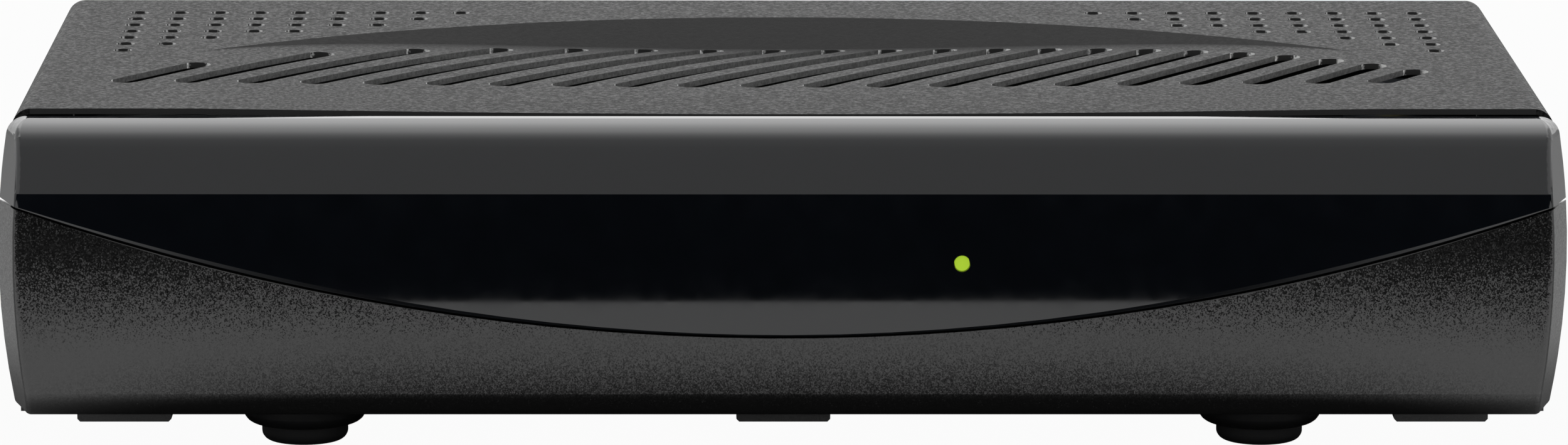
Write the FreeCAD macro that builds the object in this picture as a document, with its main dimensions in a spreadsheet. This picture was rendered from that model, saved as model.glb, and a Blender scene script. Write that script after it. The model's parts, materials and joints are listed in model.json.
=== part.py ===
import FreeCAD, Part
import Sketcher
import math
import os

from FreeCAD import Placement, Rotation, Vector

# Satellite television receiver, millimetres.
# Origin: middle of the object's footprint, on the surface it stands on.
# +X to the right seen from the front, +Y from the front to the rear, +Z up.
# Depths below are measured from the foremost point of the front moulding.

doc = FreeCAD.newDocument("satellite_receiver")

SIZES = {
    # front moulding
    "fascia_overhang": 1.9,
    "fascia_bottom": 6.4,
    "fascia_top": 47.5,
    "fascia_depth": 10.8,
    "fascia_side_bevel": 3.0,
    "fascia_wall": 2.0,
    "fascia_face_radius": 170.0,
    "fascia_face_middle": 27.0,
    "fascia_top_roll": 10.0,
    "fascia_bottom_roll": 4.0,
    "fascia_side_bulge": 110.0,
    "fascia_bulge_middle": 28.0,
    "fascia_corner_top": 2.8,
    "fascia_corner_bottom": 1.0,
    "fascia_edge_round": 0.9,
    "profile_overrun": 0.1,
    "parting_radius": 322.0,
    "parting_low": 18.25,
    "parting_gap": 0.3,
    "parting_draft": 0.13,
    "window_bevel": 0.3,
    "window_bevel_slope": 2.0,
    "lower_bevel": 0.15,
    # hooks under the front moulding
    "hook_width": 13.2,
    "hook_inset": 17.5,
    "hook_front": 8.6,
    "hook_thickness": 2.0,
    "hook_arm": 0.9,
    "hook_chamfer": 0.4,
    "hook_reach": 22.0,
    "hook_clearance": 0.1,
    # inner front carrier
    "carrier_thickness": 2.0,
    "carrier_inset": 0.25,
    "carrier_corner": 3.2,
    "rim_thickness": 1.5,
    "rim_bend": 1.5,
    "ledge_depth": 4.6,
    "ledge_height": 3.0,
    "ledge_top": 46.5,
    # top cover
    "cover_width": 216.2,
    "cover_setback": 13.0,
    "cover_depth": 101.4,
    "cover_top": 48.2,
    "cover_bottom": 6.6,
    "sheet": 0.8,
    "bend_radius": 2.8,
    "rear_lip": 8.0,
    "lip_slit": 0.5,
    "slot_count": 21,
    "slot_margin_left": 14.26,
    "slot_margin_right": 22.14,
    "slot_width": 4.1,
    "slot_angle": 57.2,
    "slot_front": 24.6,
    "slot_arc_edge": 30.2,
    "slot_arc_shift": 0.3,
    "slot_arc_rear": 71.2,
    "vent_columns": 9,
    "vent_pitch": 6.05,
    "vent_margin": 11.9,
    "vent_rear": 88.7,
    "vent_diameter": 2.7,
    "dish_rear_edge": 49.35,
    "dish_rear": 84.4,
    "dish_wall_angle": 20.2,
    "dish_margin": 21.3,
    "dish_ridge": 15.0,
    "dish_front_depth": 0.65,
    "dish_rear_depth": 3.1,
    # chassis tray
    "tray_bottom": 5.4,
    "tray_clearance": 0.1,
    "tray_front_gap": 0.4,
    "tray_lead": 9.2,
    "notch_gap": 0.5,
    "flange_height": 12.0,
    "boss_diameter": 17.7,
    "boss_draft": 0.4,
    "boss_round": 1.75,
    "rear_wall_top": 46.3,
    "tray_hem": 6.0,
    # feet
    "foot_diameter": 12.2,
    "foot_height": 2.65,
    "foot_edge": 1.4,
    "foot_stem": 5.0,
    "foot_head": 7.4,
    "foot_head_height": 1.4,
    "foot_inset": 39.57,
    "foot_front": 18.5,
    "foot_rear": 100.0,
    "fit": 0.1,
    # fasteners
    "screw_shank": 2.5,
    "screw_head": 5.6,
    "screw_head_height": 1.8,
    "screw_length": 4.0,
    "cover_screw_height": 14.0,
    "cover_screw_front": 40.0,
    "cover_screw_rear": 96.0,
    "lip_screw_inset": 33.1,
    # circuit boards
    "board": 1.6,
    "standoff_height": 5.2,
    "standoff_diameter": 5.5,
    "standoff_wall_gap": 0.05,
    "board_side_gap": 4.0,
    "board_between": 3.0,
    "main_front": 30.0,
    "power_width": 45.0,
    "power_front": 24.0,
    "power_rear": 92.0,
    "board_rear_gap": 0.6,
    "hole_inset": 5.0,
    "front_board_left": 6.0,
    "front_board_right": 78.0,
    "front_board_low": 14.0,
    "front_board_high": 40.0,
    "front_board_gap": 5.2,
    "post_diameter": 5.0,
    # status light
    "light_place": 24.7,
    "light_height": 28.55,
    "light_diameter": 2.1,
    "light_flange": 3.4,
    "led_size": 2.4,
    "eye_place": 42.0,
    "eye_size": 6.0,
    # rear connectors
    "coax_pitch": 19.0,
    "coax_height": 27.0,
    "coax_thread": 9.4,
    "coax_shank": 9.8,
    "coax_reach": 9.4,
    "coax_bore": 5.4,
    "nut_across": 12.0,
    "nut_thickness": 2.0,
    "run_out": 0.3,
    "washer_diameter": 13.6,
    "washer_thickness": 0.6,
    "hdmi_width": 15.2,
    "hdmi_height": 6.0,
    "hdmi_length": 11.5,
    "scart_width": 47.0,
    "scart_height": 16.0,
    "scart_length": 20.0,
    "scart_slot": 1.0,
    "scart_slot_height": 4.6,
    "scart_pitch": 3.81,
    "phono_pitch": 14.0,
    "phono_height": 21.0,
    "phono_shell": 8.3,
    "phono_neck": 7.7,
    "phono_core": 6.8,
    "phono_reach": 9.0,
    "phono_block": 12.0,
    "phono_hole": 3.4,
    "socket_proud": 0.9,
    # mains side
    "inlet_width": 20.0,
    "inlet_rim": 1.0,
    "inlet_height": 12.6,
    "inlet_centre": 22.0,
    "inlet_cavity_width": 14.6,
    "inlet_cavity_height": 8.0,
    "inlet_cavity_depth": 9.0,
    "inlet_length": 16.0,
    "pin_diameter": 2.4,
    "pin_pitch": 8.6,
    "pin_length": 7.8,
    "switch_centre": 25.0,
    "bezel_width": 15.0,
    "bezel_height": 21.0,
    "bezel_thickness": 2.0,
    "switch_body_width": 13.0,
    "switch_body_height": 19.2,
    "switch_body_depth": 13.0,
    "rocker_width": 10.8,
    "rocker_half": 8.0,
    "rocker_gap": 0.3,
    "rocker_throw": 20.0,
    "rocker_rise": 4.0,
    "rocker_valley": 2.2,
    "rocker_root": 4.0,
    "pivot_diameter": 1.4,
    "pivot_length": 0.9,
    "pivot_gap": 0.05,
    # inside
    "can_width": 36.0,
    "can_depth": 46.0,
    "can_height": 22.0,
    "can_sheet": 0.5,
    "chip_size": 19.0,
    "chip_offset": 14.5,
    "chip_height": 2.0,
    "sink_size": 30.0,
    "sink_base": 2.0,
    "sink_height": 10.0,
    "fin_count": 8,
    "fin_thickness": 1.0,
    "bulk_diameter": 18.0,
    "bulk_height": 28.0,
}

sheet = doc.addObject("Spreadsheet::Sheet", "Sizes")
for row, (alias, number) in enumerate(SIZES.items(), start=1):
    sheet.set("A%d" % row, alias.replace("_", " "))
    sheet.set("B%d" % row, str(number))
    sheet.setAlias("B%d" % row, alias)
doc.recompute()


class Size:
    """A number together with the sheet expression it comes from."""

    def __init__(self, value, text):
        self.value = float(value)
        self.text = text

    def __add__(self, other):
        return join(self, "+", other)

    def __radd__(self, other):
        return join(other, "+", self)

    def __sub__(self, other):
        return join(self, "-", other)

    def __rsub__(self, other):
        return join(other, "-", self)

    def __mul__(self, other):
        return join(self, "*", other)

    def __rmul__(self, other):
        return join(other, "*", self)

    def __truediv__(self, other):
        return join(self, "/", other)

    def __neg__(self):
        return join(0, "-", self)


OPERATIONS = {
    "+": lambda first, second: first + second,
    "-": lambda first, second: first - second,
    "*": lambda first, second: first * second,
    "/": lambda first, second: first / second,
}


def as_size(number):
    """A Size as it is, or a plain number as a Size."""
    if isinstance(number, Size):
        return number
    return Size(number, repr(float(number)))


def join(first, sign, second):
    first, second = as_size(first), as_size(second)
    value = OPERATIONS[sign](first.value, second.value)
    return Size(value, "(%s %s %s)" % (first.text, sign, second.text))


class Named:
    """The driving sizes by name."""


s = Named()
for alias in SIZES:
    setattr(s, alias, Size(float(sheet.get(alias)), "Sizes." + alias))


# --- stations worked out from the driving sizes ---------------------------------------------

overall_depth = s.cover_setback + s.cover_depth + s.coax_reach
front = -overall_depth / 2


def depth(distance):
    """A place measured back from the foremost point of the front moulding."""
    return front + distance


cover_front = depth(s.cover_setback)
cover_rear = cover_front + s.cover_depth
wall_outer = cover_rear - s.sheet
wall_inner = wall_outer - s.sheet
tray_front = depth(s.fascia_depth + s.tray_front_gap)
tray_floor = s.tray_bottom + s.sheet
board_low = tray_floor + s.standoff_height
board_high = board_low + s.board
main_rear = wall_inner - s.board_rear_gap
half_cover = s.cover_width / 2
fascia_width = s.cover_width + 2 * s.fascia_overhang
hook_spread = fascia_width / 2 - s.hook_inset
hook_places = (-hook_spread, as_size(0), hook_spread)
flange_half = half_cover - s.sheet - s.tray_clearance
power_right = flange_half - s.board_side_gap
power_left = power_right - s.power_width
main_left = s.board_side_gap - flange_half
main_right = power_left - s.board_between

# the rear sockets stand in one row with equal gaps between them
phono_row = 2 * s.phono_pitch + s.phono_block
inlet_outside = s.inlet_width + 2 * s.inlet_rim
row_width = (s.can_width + s.hdmi_width + s.scart_width + phono_row + s.bezel_width
             + inlet_outside)
row_gap = (2 * flange_half - row_width) / 7
can_left = row_gap - flange_half
coax_first = can_left + s.can_width / 2 - s.coax_pitch / 2
hdmi_place = can_left + s.can_width + row_gap + s.hdmi_width / 2
scart_place = hdmi_place + s.hdmi_width / 2 + row_gap + s.scart_width / 2
phono_left = scart_place + s.scart_width / 2 + row_gap
phono_first = phono_left + s.phono_block / 2
switch_place = phono_left + phono_row + row_gap + s.bezel_width / 2
inlet_place = switch_place + s.bezel_width / 2 + row_gap + inlet_outside / 2

PLACE = ("Placement.Base.x", "Placement.Base.y", "Placement.Base.z")
TURNS = {
    "X": Rotation(Vector(0, 1, 0), 90),
    "Y": Rotation(Vector(1, 0, 0), -90),
    "Z": Rotation(),
}
counter = {}


def unique(label):
    """A label that no object of the document has yet."""
    counter[label] = counter.get(label, 0) + 1
    if counter[label] == 1:
        return label
    return "%s_%d" % (label, counter[label])


def bind(thing, prop, amount):
    """Tie one property to the sheet."""
    thing.setExpression(prop, as_size(amount).text)


def put(thing, x, y, z, axis="Z"):
    corner = [as_size(number) for number in (x, y, z)]
    thing.Placement = Placement(Vector(*[number.value for number in corner]), TURNS[axis])
    for prop, number in zip(PLACE, corner):
        bind(thing, prop, number)
    return thing


def box(label, x, y, z, length, width, height):
    """A block with one corner at x, y, z."""
    thing = doc.addObject("Part::Box", unique(label))
    bind(thing, "Length", length)
    bind(thing, "Width", width)
    bind(thing, "Height", height)
    return put(thing, x, y, z)


def middle_box(label, x, y, z, length, width, height):
    """A block whose x is its middle."""
    return box(label, x - as_size(length) / 2, y, z, length, width, height)


def cylinder(label, x, y, z, diameter, length, axis="Z"):
    thing = doc.addObject("Part::Cylinder", unique(label))
    bind(thing, "Radius", as_size(diameter) / 2)
    bind(thing, "Height", length)
    return put(thing, x, y, z, axis)


def cone(label, x, y, z, first, second, length, axis="Z"):
    """A cone frustum between two diameters."""
    thing = doc.addObject("Part::Cone", unique(label))
    bind(thing, "Radius1", as_size(first) / 2)
    bind(thing, "Radius2", as_size(second) / 2)
    bind(thing, "Height", length)
    return put(thing, x, y, z, axis)


def hexagon(label, x, y, z, across, length, axis="Z"):
    thing = doc.addObject("Part::Prism", unique(label))
    thing.Polygon = 6
    bind(thing, "Circumradius", as_size(across) / math.sqrt(3))
    bind(thing, "Height", length)
    return put(thing, x, y, z, axis)


def fuse(label, things):
    thing = doc.addObject("Part::MultiFuse", unique(label))
    thing.Shapes = list(things)
    thing.Refine = True
    return thing


def group(label, things):
    """Separate solids that share one node."""
    thing = doc.addObject("Part::Compound", unique(label))
    thing.Links = list(things)
    return thing


def cut(label, base, tools):
    tools = list(tools)
    tool = tools[0] if len(tools) == 1 else fuse(label + "_tool", tools)
    thing = doc.addObject("Part::Cut", unique(label))
    thing.Base = base
    thing.Tool = tool
    return thing


def common(label, things):
    thing = doc.addObject("Part::MultiCommon", unique(label))
    thing.Shapes = list(things)
    return thing


def feature(label, shape):
    """A shape made with Part's own functions."""
    thing = doc.addObject("Part::Feature", unique(label))
    thing.Shape = shape
    return thing


def origin_plane(body, role):
    for item in body.Origin.OriginFeatures:
        if item.Role == role:
            return item
    raise RuntimeError("no plane " + role)


def pin_point(sketch, line, end, point):
    """Hold one end of a line at a place given from the sketch's origin."""
    for kind, number in zip(("DistanceX", "DistanceY"), point):
        number = as_size(number)
        index = sketch.addConstraint(Sketcher.Constraint(kind, line, end, number.value))
        sketch.setExpression("Constraints[%d]" % index, number.text)


def profile(body, role, offset, corners, holes=()):
    """A closed polygon with round holes, sketched on one of the body's own planes."""
    sketch = body.newObject("Sketcher::SketchObject", body.Name + "_sketch")
    sketch.AttachmentSupport = (origin_plane(body, role), [""])
    sketch.MapMode = "FlatFace"
    offset = as_size(offset)
    sketch.AttachmentOffset = Placement(Vector(0, 0, offset.value), Rotation())
    sketch.setExpression("AttachmentOffset.Base.z", offset.text)
    points = [Vector(as_size(x).value, as_size(y).value, 0) for x, y in corners]
    lines = []
    for index, point in enumerate(points):
        after = points[(index + 1) % len(points)]
        lines.append(sketch.addGeometry(Part.LineSegment(point, after), False))
    for index, line in enumerate(lines):
        after = lines[(index + 1) % len(lines)]
        sketch.addConstraint(Sketcher.Constraint("Coincident", line, 2, after, 1))
        pin_point(sketch, line, 1, corners[index])
    for x, y, diameter in holes:
        middle = Vector(as_size(x).value, as_size(y).value, 0)
        radius = as_size(diameter) / 2
        circle = sketch.addGeometry(Part.Circle(middle, Vector(0, 0, 1), radius.value), False)
        pin_point(sketch, circle, 3, (x, y))
        index = sketch.addConstraint(Sketcher.Constraint("Radius", circle, radius.value))
        sketch.setExpression("Constraints[%d]" % index, radius.text)
    return sketch


def padded(label, role, offset, corners, length, holes=(), backwards=False):
    """A body padded from a polygon with round holes."""
    body = doc.addObject("PartDesign::Body", unique(label))
    sketch = profile(body, role, offset, corners, holes)
    pad = body.newObject("PartDesign::Pad", body.Name + "_pad")
    pad.Profile = sketch
    bind(pad, "Length", length)
    pad.Reversed = backwards
    return body


def plate(label, left, right, near, far, low, thickness, holes=()):
    """A flat board lying level, with round holes."""
    corners = [(left, near), (right, near), (right, far), (left, far)]
    return padded(label, "XY_Plane", low, corners, thickness, holes)


def along(axis, edge):
    """True for a straight edge parallel to the axis."""
    reach = {"X": edge.BoundBox.XLength, "Y": edge.BoundBox.YLength, "Z": edge.BoundBox.ZLength}
    others = sum(amount for name, amount in reach.items() if name != axis)
    return reach[axis] > 0.5 and others < 0.001


# --- front moulding ------------------------------------------------------------------------

def fascia_outline(inset, y, low, high):
    """The outline seen from the front, with bulging sides, at depth y."""
    half = fascia_width.value / 2 - inset
    bulge = s.fascia_side_bulge.value
    level = s.fascia_bulge_middle.value

    def side(z):
        return half - bulge + math.sqrt(bulge ** 2 - (z - level) ** 2)

    low_right, high_right = Vector(side(low), y, low), Vector(side(high), y, high)
    low_left, high_left = Vector(-side(low), y, low), Vector(-side(high), y, high)
    return Part.Wire([
        Part.makeLine(low_left, low_right),
        Part.Arc(low_right, Vector(half, y, level), high_right).toShape(),
        Part.makeLine(high_right, high_left),
        Part.Arc(high_left, Vector(-half, y, level), low_left).toShape(),
    ])


def long_edge(shape, near):
    """The edge along X whose middle lies closest to a point."""
    choices = [edge for edge in shape.Edges if along("X", edge)]
    return min(choices, key=lambda edge: edge.CenterOfMass.distanceToPoint(near))


def fascia_bar(inset, y_back, low, high):
    """The side profile of the front moulding drawn out across the whole width."""
    y_front = front.value + inset
    reach = fascia_width.value
    face = s.fascia_face_radius.value - inset
    level = s.fascia_face_middle.value

    def face_depth(z):
        return y_front + face - math.sqrt(face ** 2 - (z - level) ** 2)

    start = Vector(-reach, face_depth(low), low)
    top = Vector(-reach, face_depth(high), high)
    side = Part.Wire([
        Part.Arc(start, Vector(-reach, y_front, level), top).toShape(),
        Part.makeLine(top, Vector(-reach, y_back, high)),
        Part.makeLine(Vector(-reach, y_back, high), Vector(-reach, y_back, low)),
        Part.makeLine(Vector(-reach, y_back, low), start),
    ])
    bar = Part.Face(side).extrude(Vector(2 * reach, 0, 0))
    top_roll = s.fascia_top_roll.value - inset
    low_roll = s.fascia_bottom_roll.value - inset
    bar = bar.makeFillet(top_roll, [long_edge(bar, Vector(0, y_front, high))])
    return bar.makeFillet(low_roll, [long_edge(bar, Vector(0, y_front, low))])


def fascia_block(inset, low, high):
    """The front outline drawn from front to rear, widening as it goes."""
    bevel = s.fascia_side_bevel.value
    rate = bevel / s.fascia_depth.value
    stations = (-1.0, s.fascia_depth.value + 2.0)
    outlines = [
        fascia_outline(inset + bevel - rate * station, front.value + station, low, high)
        for station in stations
    ]
    block = Part.makeLoft(outlines, True, True)
    level = s.fascia_bulge_middle.value
    for radius, sign in ((s.fascia_corner_top.value, 1), (s.fascia_corner_bottom.value, -1)):
        corners = [
            edge for edge in block.Edges
            if edge.BoundBox.YLength > s.fascia_depth.value and edge.BoundBox.ZLength < 1
            and sign * (edge.CenterOfMass.z - level) > s.fascia_edge_round.value
        ]
        level_now = high if sign > 0 else low
        outer = [edge for edge in corners if abs(edge.CenterOfMass.z - level_now) < 0.1]
        block = block.makeFillet(max(radius - inset, s.fascia_wall.value / 4), outer)
    return block


def fascia_solid(inset):
    """The front moulding as a full block, or its inner space when inset by the wall."""
    low, high = s.fascia_bottom.value + inset, s.fascia_top.value - inset
    y_back = depth(s.fascia_depth).value + inset / 2
    over = s.profile_overrun.value
    bar = fascia_bar(inset, y_back, low - over, high + over)
    return bar.common(fascia_block(inset, low, high))


def fascia_shell():
    """The full block with its front side edges rounded, hollowed from the rear."""
    whole = fascia_solid(0)
    bevel = s.fascia_side_bevel.value
    roll = s.fascia_top_roll.value
    uprights = [
        edge for edge in whole.Edges
        if edge.BoundBox.ZLength > roll / 2 and edge.BoundBox.XLength < bevel / 2
        and edge.CenterOfMass.y < front.value + roll / 2
    ]
    whole = whole.makeFillet(s.fascia_edge_round.value, uprights)
    return whole.cut(fascia_solid(s.fascia_wall.value))


def parting_cone(label, clearance, bevel, slope):
    """A cone round the parting line's axis; it has the parting radius one bevel behind the face."""
    radius = s.parting_radius + clearance
    middle = s.parting_low + s.parting_radius
    near, reach = 1.0, s.fascia_depth + 1
    first = radius - slope * (bevel + near)
    second = radius - slope * (bevel - reach)
    return cone(label, 0, depth(-near), middle, first * 2, second * 2, near + reach, "Y")


def parting_round(label, clearance):
    """The large round whose lower edge is the parting line, drafted towards the rear."""
    return parting_cone(label, clearance, 0, s.parting_draft)


def light_hole(label, clearance, start, length):
    return cylinder(label, s.light_place, start, s.light_height, s.light_diameter + clearance,
                    length, "Y")


def hook_bar(label, place, low, high, length):
    """A bar running to the rear whose two lower edges are chamfered."""
    left, right = place - s.hook_width / 2, place + s.hook_width / 2
    edge = s.hook_chamfer
    outline = [(left, high), (left, low + edge), (left + edge, low),
               (right - edge, low), (right, low + edge), (right, high)]
    return padded(label, "XZ_Plane", -depth(s.hook_front), outline, length, backwards=True)


def front_window(shell):
    bevel = parting_cone("window_edge", 0, s.window_bevel, s.window_bevel_slope)
    inside = common("window_blank", [shell, parting_round("window_round", 0), bevel])
    hole = light_hole("window_light_hole", 2 * s.fit, depth(-1), s.fascia_depth)
    return cut("front_window", inside, [hole])


def lower_fascia(shell):
    bevel = parting_cone("lower_edge", s.parting_gap, s.lower_bevel, -1)
    parts = [cut("lower_blank", shell, [parting_round("lower_round", s.parting_gap), bevel])]
    arm_low = s.tray_bottom - s.hook_clearance - s.hook_arm
    root = s.fascia_bottom + s.fascia_wall
    for place in hook_places:
        parts.append(hook_bar("hook_drop", place, arm_low, root, s.hook_thickness))
        parts.append(hook_bar("hook_arm", place, arm_low, arm_low + s.hook_arm,
                              s.hook_reach - s.hook_front))
    return fuse("lower_fascia", parts)


# --- inner carrier and front electronics ----------------------------------------------------

carrier_rear = depth(s.fascia_depth)
carrier_front = carrier_rear - s.carrier_thickness
ledge_rear = carrier_rear + s.ledge_depth
front_board_front = carrier_rear + s.front_board_gap
post_places = [
    (s.front_board_left + s.hole_inset, s.front_board_low + s.hole_inset),
    (s.front_board_right - s.hole_inset, s.front_board_low + s.hole_inset),
    (s.front_board_right - s.hole_inset, s.front_board_high - s.hole_inset),
    (s.front_board_left + s.hole_inset, s.front_board_high - s.hole_inset),
]


def carrier_rim():
    """The frame behind the moulding that the cover's front edge goes over."""
    half = half_cover - s.sheet - s.carrier_inset
    low = s.tray_bottom + s.flange_height + s.tray_front_gap
    outside = bent_block("rim_outside", half, s.ledge_top, s.rim_bend, carrier_rear, ledge_rear,
                         low)
    inside = box("rim_inside", s.rim_thickness - half, carrier_rear - 1, low - 1,
                 2 * (half - s.rim_thickness), s.ledge_depth + 2,
                 s.ledge_top - s.ledge_height - low + 1)
    return cut("carrier_rim", outside, [inside])


def front_carrier():
    """Dark inner frame: a plate that fills the back of the shells and a rim under the cover."""
    inset = s.fascia_wall + s.fascia_side_bevel + s.carrier_inset
    half = fascia_width / 2 - inset
    low = s.fascia_bottom + s.fascia_wall + s.carrier_inset
    high = s.fascia_top - s.fascia_wall - s.carrier_inset
    corner = s.carrier_corner
    outline = [(-half, low + corner), (-half + corner, low), (half - corner, low),
               (half, low + corner), (half, high), (-half, high)]
    wall = padded("carrier_plate", "XZ_Plane", -carrier_front, outline, s.carrier_thickness,
                  backwards=True)
    posts = [cylinder("carrier_post", x, carrier_rear, z, s.post_diameter, s.front_board_gap, "Y")
             for x, z in post_places]
    solid = fuse("carrier_solid", [wall, carrier_rim()] + posts)
    pilots = [cylinder("carrier_pilot", x, carrier_front, z, s.screw_shank + 2 * s.fit,
                       s.carrier_thickness + s.front_board_gap + s.fit, "Y")
              for x, z in post_places]
    eye = cylinder("carrier_eye", s.eye_place, depth(0), s.light_height,
                   s.eye_size + 2, s.fascia_depth + s.fit, "Y")
    tunnel = light_hole("carrier_light", 2 * s.fit, depth(0), s.fascia_depth + s.fit)
    return cut("front_carrier", solid, pilots + [eye, tunnel])


def light_pipe():
    """Round light guide: flush with the window, flanged behind the carrier."""
    led_front = front_board_front - s.led_size
    flange = s.carrier_thickness
    start = depth(s.fascia_wall / 8)
    rod = light_hole("pipe_rod", 0, start, led_front - s.fit - start)
    collar = cylinder("pipe_collar", s.light_place, carrier_rear, s.light_height,
                      s.light_flange, flange / 2, "Y")
    return fuse("light_pipe", [rod, collar])


def front_board():
    corners = [(s.front_board_left, s.front_board_low), (s.front_board_right, s.front_board_low),
               (s.front_board_right, s.front_board_high), (s.front_board_left, s.front_board_high)]
    holes = [(x, z, s.screw_shank + 2 * s.fit) for x, z in post_places]
    return padded("front_board", "XZ_Plane", -front_board_front, corners, s.board, holes,
                  backwards=True)


def status_led():
    return box("status_led", s.light_place - s.led_size / 2, front_board_front - s.led_size,
               s.light_height - s.led_size / 2, s.led_size, s.led_size, s.led_size)


def remote_eye():
    """Infrared receiver: a block with a round lens that looks through the carrier."""
    block = middle_box("eye_block", s.eye_place, front_board_front - s.eye_size / 2,
                       s.light_height - s.eye_size / 2, s.eye_size, s.eye_size / 2, s.eye_size)
    lens = cylinder("eye_lens", s.eye_place, front_board_front - s.eye_size, s.light_height,
                    s.eye_size - 1, s.eye_size / 2, "Y")
    return fuse("infrared_receiver", [block, lens])


# --- top cover -----------------------------------------------------------------------------

def bent_block(label, half, top, radius, near, far, low):
    """A block with its two long upper edges bent to a radius."""
    body = padded(label, "XZ_Plane", -near, [(-half, low), (half, low), (half, top), (-half, top)],
                  far - near, backwards=True)
    doc.recompute()
    pad = body.Tip
    names = ["Edge%d" % number for number, edge in enumerate(pad.Shape.Edges, start=1)
             if along("Y", edge) and edge.CenterOfMass.z > as_size(top).value - 0.01]
    bend = body.newObject("PartDesign::Fillet", body.Name + "_bend")
    bend.Base = (pad, names)
    bind(bend, "Radius", radius)
    return body


def arc_radius(half_chord, rise):
    """The radius of an arc from half its chord and its rise."""
    return (half_chord ** 2 + rise ** 2) / (2 * rise)


def dish_shape():
    """The space above the pressed dish: a shallow trough ended by a conical wall."""
    half = (half_cover - s.dish_margin).value
    top = s.cover_top.value
    edge = cover_front.value
    ridge, rear = s.dish_ridge.value, s.slot_arc_rear.value
    least, most = s.dish_front_depth.value, s.dish_rear_depth.value
    steps_across, steps_back = 33, 9
    overlap = s.sheet.value / 20
    rows = []
    for step in range(steps_back):
        back = -8.0 + (s.dish_rear.value + 16.0) * step / (steps_back - 1)
        deep = least + (most - least) * ((back - ridge) / (rear - ridge)) ** 2
        row = []
        for place in range(steps_across):
            across = -1.0 + 2.0 * place / (steps_across - 1)
            share = max(0.0, 1.0 - across ** 2) ** 1.3
            row.append(Vector(across * half, edge + back, top - deep * share + overlap))
        rows.append(row)
    surface = Part.BSplineSurface()
    surface.interpolate(rows)
    trough = surface.toShape().extrude(Vector(0, 0, 4 * most))
    slope = math.tan(math.radians(s.dish_wall_angle.value))
    radius = arc_radius(half, (s.dish_rear - s.dish_rear_edge).value)
    fall = 2 * most
    middle = Vector(0, edge + s.dish_rear.value - radius, top - fall)
    wall = Part.makeCone(radius - fall / slope, radius, fall, middle)
    if trough.Volume < 0:
        trough.reverse()
    return trough.common(wall)


def slot_ends():
    """Front and rear centres of the slanted slots; the rear ones lie on an arc."""
    angle = math.radians(s.slot_angle.value)
    along_x, along_y = math.cos(angle), math.sin(angle)
    first = (s.slot_margin_left - half_cover).value
    radius = arc_radius(-first, (s.slot_arc_rear - s.slot_arc_edge).value)
    shift = s.slot_arc_shift.value
    middle = s.slot_arc_rear.value - radius
    last = (half_cover - s.slot_margin_right).value
    count = int(s.slot_count.value)
    ends = []
    for index in range(count):
        x = first + (last - first) * index / (count - 1)
        y = s.slot_front.value
        towards = (x - shift) * along_x + (y - middle) * along_y
        away = (x - shift) ** 2 + (y - middle) ** 2 - radius ** 2
        run = -towards + math.sqrt(towards ** 2 - away)
        ends.append(((x, y), (x + run * along_x, y + run * along_y)))
    return ends


def slot_punches():
    """Upright punches with round ends, one for each slot."""
    radius = s.slot_width.value / 2
    low = s.cover_top.value - 3 * s.dish_rear_depth.value
    height = 4 * s.dish_rear_depth.value
    angle = math.radians(s.slot_angle.value)
    sideways = Vector(-math.sin(angle), math.cos(angle), 0) * radius
    onward = Vector(math.cos(angle), math.sin(angle), 0) * radius
    punches = []
    for (x1, y1), (x2, y2) in slot_ends():
        first = Vector(x1, cover_front.value + y1, low)
        last = Vector(x2, cover_front.value + y2, low)
        outline = Part.Wire([
            Part.makeLine(first - sideways, last - sideways),
            Part.Arc(last - sideways, last + onward, last + sideways).toShape(),
            Part.makeLine(last + sideways, first + sideways),
            Part.Arc(first + sideways, first - onward, first - sideways).toShape(),
        ])
        punches.append(Part.Face(outline).extrude(Vector(0, 0, height)))
    return Part.makeCompound(punches)


def vent_rows(column):
    """How many holes a column has; the group steps off towards the middle."""
    return (7, 6, 5, 4, 4, 3, 3, 2, 1)[column % 9]


def vent_punches():
    punches = []
    low = s.cover_top - 4 * s.sheet
    for side in (-1, 1):
        for column in range(int(s.vent_columns.value)):
            x = side * (half_cover - s.vent_margin - column * s.vent_pitch)
            for row in range(vent_rows(column)):
                y = cover_front + s.vent_rear - row * s.vent_pitch
                punches.append(cylinder("vent_punch", x, y, low, s.vent_diameter, 8 * s.sheet))
    return group("vent_punches", punches)


def side_screw_holes(label, diameter, start, length):
    """Cylinders across the side walls where the cover screws go."""
    places = []
    for side in (-1, 1):
        for back in (s.cover_screw_front, s.cover_screw_rear):
            x = start if side > 0 else -start - length
            places.append(cylinder(label, x, depth(back), s.cover_screw_height, diameter,
                                   length, "X"))
    return places


def lip_screw_places():
    height = s.cover_top - s.rear_lip / 2 - s.sheet / 2
    spread = half_cover - s.lip_screw_inset
    return [(-spread, height), (spread, height)]


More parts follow.
